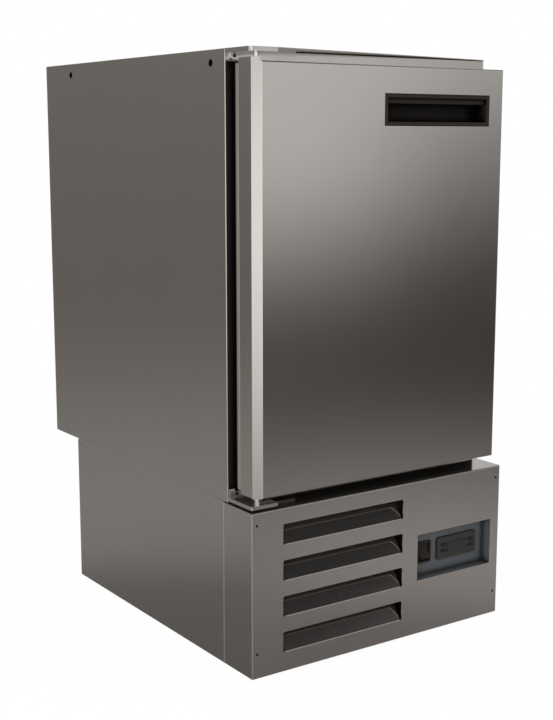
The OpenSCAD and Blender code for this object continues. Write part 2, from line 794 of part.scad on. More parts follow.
// Space that the handle takes behind the door's face
module handle_space() {
    handle_rim_block(handle_groove, -1);
    handle_body(-1);
}
module handle_rim_block(grow, y) block([handle_x0 - grow, y, handle_z0 - grow],
    [handle_x0 + handle_w + grow, handle_step, handle_z0 + handle_h + grow]);
module handle_body(y) block(
    [handle_x0 + handle_step, y, handle_z0 + handle_step],
    [handle_x0 + handle_w - handle_step, handle_d + handle_back, handle_z0 + handle_h - handle_step]);
module bush_bores(d) for (z = [door_z0 - 1, door_z1 - tip_l - 2])
    bar_z([hinge_x, hinge_y, z], d, tip_l + 3);

module door_skin() color("#aaa39c") from_corner() difference() {
    door_form(0);
    door_form(sheet_t);
    block([door_x0 + pan_lip, door_d - 2, door_z0 + pan_lip],
          [door_x0 + door_w - pan_lip, door_d + 1, door_z1 - pan_lip]);
    handle_space();
    bush_bores(bush_d);
}
module door_foam() color("#d9c389") from_corner() difference() {
    union() {
        door_form(sheet_t);
        block([door_x0 + pan_lip, door_d - 2, door_z0 + pan_lip],
              [door_x0 + door_w - pan_lip, door_d, door_z1 - pan_lip]);
        door_plateau(door_d - 1, plateau_d + 1, sheet_t);
    }
    handle_space();
    bush_bores(bush_d);
}

// Inner panel of the door: a sheet with a raised middle
module door_liner() color("#d2d5d6") from_corner() difference() {
    union() {
        along_y(door_d, sheet_t) translate([door_x0 + gasket_inset, door_z0 + 4])
            rounded([door_w - 2 * gasket_inset, door_h - 8], 3);
        door_plateau(door_d, sheet_t + plateau_d, 0);
    }
    door_plateau(door_d - 1, plateau_d + 1, sheet_t);
}
module door_plateau(y, depth, inset) along_y(y, depth)
    translate([door_x0 + plateau_in + inset, door_z0 + plateau_in + inset])
        rounded([door_w - 2 * (plateau_in + inset), door_h - 2 * (plateau_in + inset)], plateau_r - inset);

// Frame of one profile with mitred corners, on the rear of the door.
// The profile is drawn as distance in from the edge and distance back from the start.
module mitred_frame(x0, z0, w, h, y) translate([x0, y, z0]) {
    mitred_side(w, h) children();
    translate([w, 0, h]) rotate([0, 180, 0]) mitred_side(w, h) children();
    translate([w, 0, 0]) rotate([0, -90, 0]) mitred_side(h, w) children();
    translate([0, 0, h]) rotate([0, 90, 0]) mitred_side(h, w) children();
}
module mitred_side(length, other) intersection() {
    rotate([90, 0, 90]) linear_extrude(length) mirror([1, -1]) children();
    m = min(length, other) / 2;
    translate([0, 100, 0]) rotate([90, 0, 0]) linear_extrude(200)
        polygon([[0, 0], [length, 0], [length - m, m], [m, m]]);
}
// Gasket profile: a foot, a soft fold and a closed magnet chamber
module gasket_profile() difference() {
    polygon([[0, 0], [gasket_w, 0], [gasket_w, 3], [gasket_w - 4, 5], [gasket_w - 4, gasket_d - 7],
        [gasket_w, gasket_d - 6], [gasket_w, gasket_d], [0, gasket_d], [0, gasket_d - 6],
        [1.5, gasket_d - 7.5], [1.5, 5], [0, 3.5]]);
    translate([4, 3]) square([gasket_w - 10, gasket_d - 11.5]);
    translate([3, gasket_d - magnet_t - 1.2]) square([magnet_w, magnet_t]);
}
magnet_w = 12;
magnet_t = 4;
module gasket() color("#6d655e") from_corner()
    mitred_frame(door_x0 + gasket_inset, door_z0 + 1, door_w - 2 * gasket_inset, door_h - 2, door_d + sheet_t)
        gasket_profile();
module gasket_magnets() color("#33302d") from_corner() {
    inset = 3;
    y = door_d + sheet_t + gasket_d - magnet_t - 1.2;
    x0 = door_x0 + gasket_inset + inset;
    x1 = door_x0 + door_w - gasket_inset - inset;
    z0 = door_z0 + 1 + inset;
    z1 = door_z1 - 1 - inset;
    for (z = [z0, z1 - magnet_w])
        block([x0 + magnet_w + 1, y, z], [x1 - magnet_w - 1, y + magnet_t, z + magnet_w]);
    for (x = [x0, x1 - magnet_w]) block([x, y, z0], [x + magnet_w, y + magnet_t, z1]);
}

// Recessed handle: a rim in a groove of the door's face, a cup and a grip lip under its upper wall
module handle_cup() color("#101112") from_corner() {
    inner = [handle_w - 2 * handle_rim, handle_h - 2 * handle_rim];
    x0 = handle_x0 + handle_rim;
    z0 = handle_z0 + handle_rim;
    difference() {
        union() {
            handle_rim_block(0, 0);
            handle_rim_block(handle_groove, sheet_t);
            handle_body(0);
        }
        along_y(-1, handle_d + 1) translate([x0, z0]) rounded(inner, 1.5);
    }
    lip_t = 5;
    lip_y = 4;
    along_x(x0 - 1, inner.x + 2) translate([lip_y, z0 + inner.y - lip_h]) {
        translate([0, lip_t / 2]) square([lip_t, lip_h - lip_t / 2 + 1]);
        translate([lip_t / 2, lip_t / 2]) circle(d = lip_t);
    }
}

// Bushes of the door: a plate with a sleeve above, a sleeve with a round flange below
module door_bushes() color("#c9c5c0") from_corner() difference() {
    union() {
        intersection() {
            translate([0, 0, door_z1]) linear_extrude(bush_h) door_plan(0, door_d);
            block([0, door_bend, door_z1], [door_x0 + 30, door_d + 1, door_z1 + bush_h]);
        }
        bar_z([hinge_x, hinge_y, door_z1 - tip_l - 2], bush_d, tip_l + 2 + eps);
        bar_z([hinge_x, hinge_y, door_z0 - bush_foot], bush_d, tip_l + bush_foot + 2);
        bar_z([hinge_x, hinge_y, door_z0 - bush_foot], bush_d + 3, bush_foot);
    }
    bar_z([hinge_x, hinge_y, door_z0 - bush_foot - 1], tip_d + 2 * tip_clearance, tip_l + 1.5);
    bar_z([hinge_x, hinge_y, door_z1 + bush_h + 1 - tip_l - 1.5], tip_d + 2 * tip_clearance, tip_l + 1.5);
}

// Pan of the base: a floor with a lip folded up along its sides and rear
module base_pan() color("#8f9294") from_corner() {
    block([sheet_t, sheet_t, 0], [body_w - sheet_t, base_d - sheet_t, pan_t]);
    for (x = [sheet_t, body_w - sheet_t - pan_t])
        block([x, cover_return + 6, 0], [x + pan_t, base_d - sheet_t, pan_lip_h]);
    block([sheet_t, base_d - sheet_t - pan_t, 0], [body_w - sheet_t, base_d - sheet_t, pan_lip_h]);
}

// Upright behind the cover: a web that the rail sits on and a flange for the cover screws
module base_upright() difference() {
    union() {
        block([sheet_t, cover_bend, pan_t], [sheet_t + rail_t, cover_return, cover_z1 - sheet_t]);
        block([cover_bend, sheet_t, pan_t], [sheet_t + upright_w, sheet_t + rail_t, cover_z1 - cover_bend]);
    }
    for (z = screw_zs) bar_y([screw_side, 0, z], screw_d, 10);
}
module base_uprights() color("#a3a6a8") {
    from_corner() base_upright();
    on_right() base_upright();
}
// Corner post from the pan to the rail
module base_post(y, dir) translate([sheet_t + pan_t, y, 0]) {
    block([0, dir > 0 ? 0 : -post_w, pan_t], [rail_t, dir > 0 ? post_w : 0, rail_z0]);
    block([0, dir > 0 ? 0 : -rail_t, pan_t], [post_w, dir > 0 ? rail_t : 0, rail_z0]);
}
module base_posts() color("#a3a6a8") for (y = [[rail_y0 + post_w, 1], [base_d - sheet_t - pan_t, -1]]) {
    from_corner() base_post(y[0], y[1]);
    on_right() base_post(y[0], y[1]);
}
// Ring of angle rails that carries the cabinet
module base_rails() color("#a3a6a8") {
    from_corner() base_rail();
    on_right() base_rail();
    from_corner() for (y = [rail_y0, base_d - sheet_t - rail_t])
        block([sheet_t + rail_flange, y, rail_z0], [body_w - sheet_t - rail_flange, y + rail_t, cab_z0]);
}
module base_rail() {
    block([sheet_t, rail_y0, rail_z0], [sheet_t + rail_t, base_d - sheet_t, cab_z0]);
    block([sheet_t, rail_y0, cab_z0 - rail_t], [sheet_t + rail_flange, base_d - sheet_t, cab_z0]);
    block([sheet_t, rail_y0, rail_z0], [sheet_t + rail_flange, base_d - sheet_t, rail_z0 + rail_t]);
}

// Side skin of the base, folded in at its front edge
module base_side() translate([0, 0, pan_t]) linear_extrude(skin_h)
    translate([0, cover_return + skin_gap]) difference() {
        folded(skin_bend + 0.5, base_d - cover_return - skin_gap, sheet_t, skin_bend);
        translate([sheet_t, skin_bend + 2]) square([skin_bend, base_d]);
    }
module base_side_left() color("#97908a") from_corner() base_side();
module base_side_right() color("#97908a") on_right() base_side();

gland_x = 60;
gland_z = 60;
gland_d = 16;
module base_rear_panel() color("#97908a") from_corner() difference() {
    block([sheet_t, base_d - sheet_t, pan_t], [body_w - sheet_t, base_d, cover_z1]);
    for (row = [0:2], i = [0:13]) along_y(base_d - 2, 4)
        translate([104 + i * 18, 34 + row * 60]) slot_shape(8, 48);
    bar_y([gland_x, base_d - 2, gland_z], gland_d, 4);
}
// Gland for the supply cord: a flanged sleeve with a nut behind the panel
module cable_gland() color("#1a1a1a") from_corner() difference() {
    union() {
        bar_y([gland_x, base_d - 12, gland_z], gland_d, 20);
        bar_y([gland_x, base_d, gland_z], gland_d + 8, 4);
        translate([gland_x, base_d - 7, gland_z]) rotate([-90, 0, 0])
            cylinder(d = gland_d + 9, h = 6, $fn = 6);
    }
    bar_y([gland_x, base_d - 13, gland_z], 9, 22);
}

// Outer or inner form of the cover: a box with bends at its front and upper front edges
module cover_form(inset) {
    depth = cover_return + 20;
    r = cover_bend - inset;
    intersection() {
        linear_extrude(cover_z1 - inset) translate([inset, inset]) rounded([body_w - 2 * inset, depth], r);
        along_x(0, body_w) bent_corner([inset, -1], [depth, cover_z1 - inset], r);
    }
}
// Flap of a louvre: the strip that is cut free and bent back about its lower edge
module louvre_flap(z) {
    r = flap_bend;
    width = louvre_w - 2 * louvre_r;
    along_x(louvre_x + louvre_r, width) translate([sheet_t + r, z]) {
        intersection() {
            difference() {
                circle(r + sheet_t);
                circle(r);
            }
            polygon([[0, 0], [-4, 0], [-4, 4 * tan(flap_angle)]]);
        }
        rotate(180 - flap_angle) translate([r, -flap_l]) square([sheet_t, flap_l]);
    }
}
module front_cover() color("#9c958f") from_corner() {
    difference() {
        cover_form(0);
        cover_form(sheet_t);
        block([-1, -1, -1], [body_w + 1, cover_return + 30, pan_t]);
        block([-1, cover_return, 0], [body_w + 1, cover_return + 30, body_h]);
        for (i = [0:louvres - 1]) along_y(-1, sheet_t + 2)
            translate([louvre_x, louvre_z + i * louvre_pitch]) rounded([louvre_w, louvre_h], louvre_r);
        along_y(-1, sheet_t + 2) translate([window_x, window_z]) square([window_w, window_h]);
        for (x = screw_xs, z = screw_zs) bar_y([x, -1, z], screw_d, sheet_t + 2);
    }
    for (i = [0:louvres - 1]) louvre_flap(louvre_z + i * louvre_pitch);
}
module cover_screws() color("#1c1c1c") from_corner() for (x = screw_xs, z = screw_zs) difference() {
    bar_y([x, 0, z], screw_d, sheet_t + rail_t + 4);
    translate([x, -1, z]) rotate([-90, 0, 0]) cylinder(d = screw_d / 2, h = 2, $fn = 6);
}

// Compressor: a domed shell with a weld flange on a foot plate
module compressor() color("#1a1b1d") from_corner() translate([compressor_x, compressor_y, compressor_z0]) {
    r = compressor_d / 2;
    dome_h = 30;
    dome_r = (r * r + dome_h * dome_h) / (2 * dome_h);
    side_h = compressor_h - 2 * dome_h;
    rotate_extrude() {
        translate([0, dome_h]) square([r, side_h]);
        intersection() {
            translate([0, dome_r]) circle(dome_r);
            square([r, dome_h]);
        }
        intersection() {
            translate([0, compressor_h - dome_r]) circle(dome_r);
            translate([0, compressor_h - dome_h]) square([r, dome_h]);
        }
        translate([0, compressor_h * 0.55]) square([r + 4, 5]);
    }
    difference() {
        translate([-foot_w / 2, -foot_d / 2, 0]) linear_extrude(3) rounded([foot_w, foot_d], 10);
        for (x = [-1, 1], y = [-1, 1]) bar_z([x * foot_x, y * foot_y, -1], 16, 6);
    }
    bar_x([r - 3, 0, suction_z], suction_d, 23);
    bar_y([0, r - 3, discharge_z], liquid_d, 18);
    bar_x([r - 12, discharge_y, discharge_z], liquid_d, 32);
}
foot_w = 176;
foot_d = 124;
foot_x = foot_w / 2 - 14;
foot_y = foot_d / 2 - 14;
suction_z = 96;
discharge_z = 60;
discharge_y = -30;
stub_x = compressor_x + compressor_d / 2 + 20;

// Rubber mounts that hold the foot plate
module compressor_mounts() color("#222222") from_corner() for (x = [-1, 1], y = [-1, 1])
    translate([compressor_x + x * foot_x, compressor_y + y * foot_y, pan_t]) {
        cylinder(d = 26, h = grommet_h);
        cylinder(d = 16 - 2 * fit, h = grommet_h + 3);
        translate([0, 0, grommet_h + 3]) cylinder(d = 22, h = 5);
    }
module terminal_cover() color("#26282b") from_corner() difference() {
    block([compressor_x - 26, compressor_y - compressor_d / 2 - 26, compressor_z0 + 52],
          [compressor_x + 26, compressor_y - compressor_d / 4, compressor_z0 + 102]);
    bar_z([compressor_x, compressor_y, 0], compressor_d + 0.4, 300);
    bar_z([compressor_x, compressor_y, compressor_z0 + compressor_h * 0.55 - 0.4], compressor_d + 9, 5.8);
}

// Condenser: fins on two rows of tubes, with end plates that stand on the pan
module condenser() color("#3f4346") from_corner() {
    step = condenser_w / (condenser_fins - 1);
    for (i = [0:condenser_fins - 1])
        block([condenser_x0 + i * step, condenser_y0, condenser_z0],
              [condenser_x0 + i * step + 0.8, condenser_y1, condenser_z0 + condenser_h]);
    for (x = [condenser_x0, condenser_x0 + condenser_w])
        block([x - 0.4, condenser_y0, pan_t], [x + 1.2, condenser_y1, condenser_z0 + condenser_h]);
    for (y = [condenser_y0 + condenser_d / 4, condenser_y1 - condenser_d / 4]) {
        for (i = [0:5])
            bar_x([condenser_x0 - 4, y, condenser_row_z(i)], tube_d, condenser_out_x - condenser_x0 + 4);
        for (i = [0, 2, 4])
            return_bend([condenser_x0 - 4, y, condenser_row_z(i + 0.5)], condenser_pitch, -1);
        for (i = [1, 3])
            return_bend([condenser_out_x, y, condenser_row_z(i + 0.5)], condenser_pitch, 1);
    }
    translate([condenser_out_x, condenser_y0 + condenser_d / 2, condenser_row_z(0)]) rotate(-90)
        rotate_extrude(angle = 180) translate([condenser_d / 4, 0]) circle(d = tube_d);
}
condenser_pitch = floor(condenser_h / 3) / 2;
condenser_out_x = condenser_x0 + condenser_w + 4.8;
function condenser_row_z(i) = condenser_z0 + condenser_pitch * (i + 0.5);

// Shroud: a shallow box behind the condenser with a round throat for the fan
module fan_shroud() color("#2b2e31") from_corner() difference() {
    x0 = condenser_x0 - 2;
    x1 = condenser_x0 + condenser_w + 3;
    z1 = condenser_z0 + condenser_h + 1;
    union() {
        block([x0, condenser_y1 + fit, pan_t], [x1, condenser_y1 + shroud_d, z1]);
        bar_y([fan_x, condenser_y1 + shroud_d - 1, fan_z], fan_d + 14, 13);
    }
    block([x0 + 1.5, condenser_y1 - 1, pan_t + 1.5], [x1 - 1.5, condenser_y1 + shroud_d - 1.5, z1 - 1.5]);
    bar_y([fan_x, condenser_y1, fan_z], fan_d + 10, 60);
}
fan_shaft_d = 8;
motor_gap = 25;
motor_d = 66;
motor_l = 46;
motor_y = fan_y + motor_gap;
// Fan motor on a yoke that stands on the pan
module condenser_fan_motor() color("#4a4d50") from_corner() {
    translate([fan_x, motor_y, fan_z]) rotate([-90, 0, 0]) {
        cylinder(d = motor_d, h = motor_l);
        translate([0, 0, 4 - motor_gap]) cylinder(d = fan_shaft_d, h = motor_gap);
    }
    block([fan_x - 22, motor_y + 14, pan_t], [fan_x + 22, motor_y + 17, fan_z]);
    block([fan_x - 34, motor_y, pan_t], [fan_x + 34, motor_y + 40, pan_t + 3]);
}
module condenser_fan() color("#303335") from_corner()
    translate([fan_x, fan_y, fan_z]) rotate([-90, 0, 0])
        axial_fan(fan_d, 48, 18, fan_blades, 52, 26, fan_shaft_d);

drier_x = condenser_x0 + condenser_w + 24;
drier_y = 190;
drier_z = 60;
drier_d = 20;
drier_l = 80;
neck_d = 9;
neck_l = 8;
cone_l = 12;
// Filter drier: a copper capsule with a neck at each end, in a clip on the pan
module filter_drier() color("#b87333") from_corner() {
    translate([drier_x, drier_y, drier_z]) {
        cylinder(d = drier_d, h = drier_l);
        translate([0, 0, drier_l]) cylinder(d1 = drier_d, d2 = neck_d, h = cone_l);
        translate([0, 0, drier_l + cone_l]) cylinder(d = neck_d, h = neck_l);
        translate([0, 0, -cone_l]) cylinder(d1 = neck_d, d2 = drier_d, h = cone_l);
        translate([0, 0, -cone_l - neck_l]) cylinder(d = neck_d, h = neck_l);
    }
    clip_y = drier_y - drier_d / 2;
    block([drier_x - 5, clip_y, pan_t], [drier_x + 5, clip_y + 2, drier_z + 30]);
    block([drier_x - 9, clip_y - 14, pan_t], [drier_x + 9, clip_y + 2, pan_t + 2]);
}

pipe_y = body_d - 26;
suction_x = drier_x + 16;
liquid_x = drier_x;
riser_y = drier_y + 50;
// Route of the suction pipe from the compressor to the evaporator
function suction_route() = [
    [stub_x, compressor_y, compressor_z0 + suction_z],
    [suction_x, compressor_y, compressor_z0 + suction_z],
    [suction_x, compressor_y, cab_z0 + wall_t / 2],
    [suction_x, pipe_y, cab_z0 + wall_t / 2],
    [suction_x, pipe_y, cooler_z0 + cooler_h - 26],
    [suction_x, cooler_y0 + cooler_d, cooler_z0 + cooler_h - 26]
];
// Route of the liquid pipe from the filter drier to the evaporator
function liquid_route() = [
    [liquid_x, drier_y, drier_z - cone_l - neck_l],
    [liquid_x, drier_y, 24],
    [liquid_x, riser_y, 24],
    [liquid_x, riser_y, cab_z0 + wall_t / 2],
    [liquid_x, pipe_y, cab_z0 + wall_t / 2],
    [liquid_x, pipe_y, cooler_z0 + 64],
    [liquid_x, cooler_y0 + cooler_d, cooler_z0 + 64]
];
// Pipes between compressor, condenser, drier and evaporator
module refrigerant_pipes() color("#b87333") from_corner() {
    tube_run(suction_route(), suction_d, bend_r);
    tube_run(liquid_route(), liquid_d, bend_r);
    x = drier_x - 9;
    y = compressor_y + discharge_y;
    z = condenser_row_z(5);
    tube_run([
        [stub_x, y, compressor_z0 + discharge_z],
        [x, y, compressor_z0 + discharge_z],
        [x, y, z],
        [x, condenser_y1 - condenser_d / 4, z],
        [condenser_out_x, condenser_y1 - condenser_d / 4, z]
    ], liquid_d, 6);
    tube_run([
        [condenser_out_x, condenser_y0 + condenser_d / 4, z],
        [drier_x, condenser_y0 + condenser_d / 4, z],
        [drier_x, drier_y, z],
        [drier_x, drier_y, drier_z + drier_l + cone_l + neck_l]
    ], liquid_d, 6);
}

// Open tray that takes the defrost water
module evaporation_tray() color("#e4e4e0") from_corner() {
    x0 = drier_x + tray_gap;
    x1 = body_w - tray_side;
    y1 = base_d - 12;
    y0 = y1 - tray_depth;
    difference() {
        translate([0, 0, pan_t]) linear_extrude(evaporation_h - pan_t)
            translate([x0, y0]) rounded([x1 - x0, y1 - y0], 10);
        translate([0, 0, pan_t + 2]) linear_extrude(evaporation_h)
            translate([x0 + 2, y0 + 2]) rounded([x1 - x0 - 4, y1 - y0 - 4], 8);
    }
}

// Recessed tray behind the control window: a ledge, and a plate with two cut-outs
module control_tray() color("#2c3238") from_corner() difference() {
    x0 = window_x - tray_rim;
    x1 = window_x + window_w + tray_rim;
    z0 = window_z - tray_rim;
    z1 = window_z + window_h + tray_rim;
    union() {
        block([x0 - tray_wall, sheet_t, z0 - tray_wall],
              [x1 + tray_wall, plate_y + plate_t, z1 + tray_wall]);
        block([x0 - tray_lip, sheet_t, z0 - tray_lip], [x1 + tray_lip, sheet_t + tray_wall, z1 + tray_lip]);
    }
    block([x0, 0, z0], [x1, plate_y - tray_ledge, z1]);
    block([x0 + tray_ledge, 0, z0 + tray_ledge], [x1 - tray_ledge, plate_y, z1 - tray_ledge]);
    housing_box(0, plate_y + plate_t + 1, fit);
    switch_box(0, plate_y + plate_t + 1, fit);
}
module housing_box(y0, y1, grow) block(
    [housing_x0 - grow, y0, housing_z0 - grow],
    [housing_x0 + housing_w + grow, y1, housing_z0 + housing_h + grow]);
module switch_box(y0, y1, grow) block(
    [switch_x0 + switch_rim - grow, y0, switch_z0 + switch_rim - grow],
    [switch_x0 + switch_w - switch_rim + grow, y1, switch_z0 + switch_h - switch_rim + grow]);

// Steel box behind the control tray, on a leg that stands on the pan
module control_box() color("#6f7376") from_corner() {
    x0 = window_x - 4;
    x1 = window_x + window_w + 4;
    z0 = window_z - 4;
    z1 = window_z + window_h + 4;
    y0 = plate_y + plate_t;
    difference() {
        block([x0, y0, z0], [x1, y0 + box_d, z1]);
        block([x0 + 1.5, y0 - 1, z0 + 1.5], [x1 - 1.5, y0 + box_d - 1.5, z1 - 1.5]);
    }
    block([x0 + 20, y0 + box_d - 24, pan_t], [x1 - 20, y0 + box_d - 22, z0]);
    block([x0 + 20, y0 + box_d - 24, pan_t], [x1 - 20, y0 + box_d, pan_t + 2]);
}

function key_x(side) = controller_x0 + key_side + (side > 0 ? key_span : 0);
function key_z(row) = controller_z0 + controller_h / 2 + row * key_pitch / 2 - key_h / 2;
face_y = plate_y - controller_t;
key_gap = 0.25;
key_rise = key_travel + 0.2;
key_pocket = 4;
display_rise = 0.8;
display_x = [key_x(-1) + key_w + 3, key_x(1) - 3];
display_z = [controller_z0 + 8.5, controller_z0 + 23.5];

// Controller: a bezel before the plate and a housing through it
module controller_front() color("#2e2f31") from_corner() difference() {
    union() {
        along_y(face_y, controller_t)
            translate([controller_x0, controller_z0]) rounded([controller_w, controller_h], 2);
        housing_box(plate_y - eps, plate_y + housing_l, 0);
    }
    for (side = [-1, 1], row = [-1, 1])
        block([key_x(side) - key_gap, face_y - 1, key_z(row) - key_gap],
              [key_x(side) + key_w + key_gap, face_y + key_pocket, key_z(row) + key_h + key_gap]);
    block([display_x[0], face_y - 1, display_z[0]], [display_x[1], face_y + 1, display_z[1]]);
}
module controller_display() color("#241c1c") from_corner()
    block([display_x[0], face_y - display_rise, display_z[0]], [display_x[1], face_y + 1, display_z[1]]);

// Key cap on its stem, pressed towards the back
module key(side, row) color("#1b1c1d") from_corner()
    block([key_x(side), face_y - key_rise, key_z(row)],
          [key_x(side) + key_w, face_y + key_pocket - key_travel - 0.3, key_z(row) + key_h]);
module key_set() key(-1, 1);
module key_power() key(-1, -1);
module key_up() key(1, 1);
module key_down() key(1, -1);

rocker_w = switch_w - 2 * switch_rim - 4;
rocker_h = switch_h - 2 * switch_rim - 3;
switch_cx = switch_x0 + switch_w / 2;
switch_cz = switch_z0 + switch_h / 2;
pivot_y = plate_y + 5;
// Frame and body of the rocker switch
module switch_frame() color("#141516") from_corner() difference() {
    union() {
        along_y(plate_y - 2, 2) translate([switch_x0, switch_z0]) rounded([switch_w, switch_h], 1.5);
        switch_box(plate_y - eps, plate_y + switch_body_l, 0);
    }
    block([switch_cx - rocker_w / 2 - 0.5, plate_y - 3, switch_cz - rocker_h / 2 - 0.6],
          [switch_cx + rocker_w / 2 + 0.5, plate_y + 16, switch_cz + rocker_h / 2 + 0.6]);
    bar_x([switch_cx - rocker_w / 2 - 1.5, pivot_y, switch_cz],
          rocker_pin_d + 2 * tip_clearance, rocker_w + 3);
}
// Rocker: two faces that meet at the pivot, tilted so that its upper half is pressed in
module rocker() color("#1f2022") from_corner() translate([0, pivot_y, switch_cz]) {
    rotate([-rocker_tilt, 0, 0]) along_x(switch_cx - rocker_w / 2, rocker_w) rocker_profile();
    bar_x([switch_cx - rocker_w / 2 - 1.3, 0, 0], rocker_pin_d, rocker_w + 2.6);
}
module rocker_profile() {
    half = rocker_h / 2 - 1.2;
    polygon([[-7.4, -half], [-5.4, 0], [-7.4, half], [-2, half + 0.3], [3.5, half * 0.45],
        [3.5, -half * 0.45], [-2, -half - 0.3]]);
}

side_panel_left();
side_panel_right();
top_panel();
rear_panel();
cabinet_floor();
front_rails();
front_frame();
insulation();
liner();
side_inserts();
shelf_runners();
upper_shelf();
lower_shelf();
duct_panel();
evaporator();
evaporator_fan_mount();
evaporator_fan();
drip_tray();
drain_tube();
upper_hinge_bracket();
lower_hinge_bracket();
hinge_pins();
hinge_screws();
door_skin();
door_foam();
door_liner();
gasket();
gasket_magnets();
handle_cup();
door_bushes();
base_pan();
base_uprights();
base_posts();
base_rails();
base_side_left();
base_side_right();
base_rear_panel();
cable_gland();
front_cover();
cover_screws();
compressor();
compressor_mounts();
terminal_cover();
condenser();
fan_shroud();
condenser_fan_motor();
condenser_fan();
filter_drier();
refrigerant_pipes();
evaporation_tray();
control_tray();
control_box();
controller_front();
controller_display();
key_set();
key_up();
key_power();
key_down();
switch_frame();
rocker();
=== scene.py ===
"""Looks of the undercounter freezer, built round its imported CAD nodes. Everything is in metres."""

import json
import math

import bpy
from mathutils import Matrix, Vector

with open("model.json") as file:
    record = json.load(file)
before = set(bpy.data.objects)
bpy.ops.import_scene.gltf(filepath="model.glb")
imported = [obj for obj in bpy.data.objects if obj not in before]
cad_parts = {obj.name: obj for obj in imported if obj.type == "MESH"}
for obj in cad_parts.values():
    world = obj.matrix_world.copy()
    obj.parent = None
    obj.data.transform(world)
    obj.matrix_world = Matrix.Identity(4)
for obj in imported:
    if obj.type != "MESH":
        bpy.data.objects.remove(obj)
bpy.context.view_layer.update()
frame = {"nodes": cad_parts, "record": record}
nodes = frame["nodes"]

# The photograph's camera, fitted to 18 straight edges of the object
EYE = Vector((-1.14297, -1.68476, 0.73664))
YAW = math.radians(34.63)
PITCH = math.radians(9.91)
LENS_MM = 63.89
SENSOR_MM = 36.0

# To the camera most of the floor is an even glow, and the rest of it takes the shadow
FLOOR_RADIUS = 1.25
FLOOR_SIDES = 96
FLOOR_COLOR = (0.92, 0.915, 0.91)
FLOOR_ROUGHNESS = 0.9
FLOOR_GLOW = 1.03
FLOOR_GLOW_SHARE = 0.93

# A soft square lamp to the left front, which the steel doesn't mirror
KEY_PLACE = Vector((-2.0, -1.9, 0.9))
KEY_TARGET = Vector((0.0, 0.0, 0.45))
KEY_SIZE = 1.6
KEY_POWER = 30.0

# What matt surfaces get from all round, and what the camera sees behind the object
SOFT_COLOR = (0.62, 0.61, 0.60)
WHITE = (1.0, 1.0, 1.0)

# The room that the steel mirrors: plain walls and lamps with soft edges, as layers over one another. A
# profile pairs an angle above the horizon with a light level. Its sides pair an angle round from the front,
# with the right as positive, with the layer's share. FRONT_LEFT has no sides, because it shows wherever no
# layer covers it. Angles are in degrees.
HEIGHTS = (-90.0, 90.0)
TURNS = (-180.0, 180.0)

# A soft box from the horizon up, over a dark band and a lit edge of the floor
FRONT_LEFT = [
    (-90.0, 0.4), (-50.0, 0.3), (-28.0, 0.13), (-17.5, 0.24), (-11.0, 0.06), (-9.5, 0.06), (0.0, 0.7),
    (15.0, 0.8), (36.0, 0.0), (62.0, 0.0), (90.0, 0.3),
]

# The same further to the right, where the soft box starts higher
FRONT_RIGHT = [
    (-90.0, 0.4), (-50.0, 0.3), (-30.0, 0.12), (-21.0, 0.16), (-20.0, 0.35), (-19.0, 0.35), (-10.0, 0.03),
    (-7.5, 0.03), (9.5, 0.7), (15.0, 0.7), (36.0, 0.0), (62.0, 0.0), (90.0, 0.3),
]
FRONT_RIGHT_SIDES = [(36.0, 0.0), (45.0, 1.0)]
RIGHT_WALL = [(-90.0, 0.4), (-30.0, 0.2), (-8.0, 0.2), (12.0, 0.6), (30.0, 0.4), (90.0, 0.3)]
RIGHT_WALL_SIDES = [(56.0, 0.0), (64.0, 1.0), (145.0, 1.0), (165.0, 0.0)]
DARK_GAPS = [
    (-90.0, 0.4), (-30.0, 0.2), (-18.0, 0.15), (-13.0, 0.0), (2.5, 0.0), (4.0, 0.55), (14.0, 0.6),
    (40.0, 0.3), (90.0, 0.2),
]
DARK_GAP_SIDES = [
    (-130.0, 0.0), (-124.0, 1.0), (-104.0, 1.0), (-98.0, 0.0), (15.0, 0.0), (17.0, 1.0), (20.0, 1.0),
    (25.0, 0.0),
]

# A white wall, brightest just under the horizon
LEFT_WALL = [
    (-90.0, 0.5), (-35.0, 0.2), (-22.0, 0.28), (-4.0, 1.18), (-2.0, 1.18), (6.0, 0.82), (40.0, 0.45),
    (90.0, 0.35),
]
LEFT_WALL_SIDES = [(-104.0, 0.0), (-98.0, 1.0), (-12.0, 1.0), (-7.0, 0.0)]
STRIP_LIGHT = [
    (-90.0, 0.5), (-30.0, 0.3), (-15.0, 0.9), (-8.0, 1.6), (3.0, 1.6), (12.0, 1.0), (90.0, 0.4),
]
STRIP_LIGHT_SIDES = [(-38.0, 0.0), (-30.0, 1.0), (-12.0, 1.0), (-7.0, 0.0)]

# A dim wall under a bright one, with a lit skirting
BACK_WALL = [
    (-90.0, 0.35), (-30.0, 0.1), (-20.0, 0.13), (-18.0, 0.27), (-16.0, 0.27), (-7.0, 0.15), (4.0, 0.18),
    (8.0, 0.6), (14.0, 0.65), (40.0, 0.45), (90.0, 0.35),
]
BACK_WALL_SIDES = [(-130.0, 1.0), (-124.0, 0.0), (145.0, 0.0), (165.0, 1.0)]
LAYERS = [
    (FRONT_RIGHT, FRONT_RIGHT_SIDES),
    (RIGHT_WALL, RIGHT_WALL_SIDES),
    (DARK_GAPS, DARK_GAP_SIDES),
    (LEFT_WALL, LEFT_WALL_SIDES),
    (STRIP_LIGHT, STRIP_LIGHT_SIDES),
    (BACK_WALL, BACK_WALL_SIDES),
]

# Radians that a layer's sides move round for each radian of height
SIDE_SLANT = -0.25

# The room's light is white from one level up, and at level 0 it keeps only these shares of green and blue
WHITE_FROM = 0.6
DARK_GREEN = 0.93
DARK_BLUE = 0.87

# Wear at edges, which on steel also paints a highlight, and painted shade in hollows. An edge is found by
# the turn of a rounded normal, a hollow by how open its surroundings are. Each pair gives first the value
# at full wear or full shade, and then the value where there is none.
EDGE_TURN = (0.7, 0.98)
EDGE_SAMPLES = 4
HOLLOW_OPENING = (0.5, 0.94)
HOLLOW_SAMPLES = 8

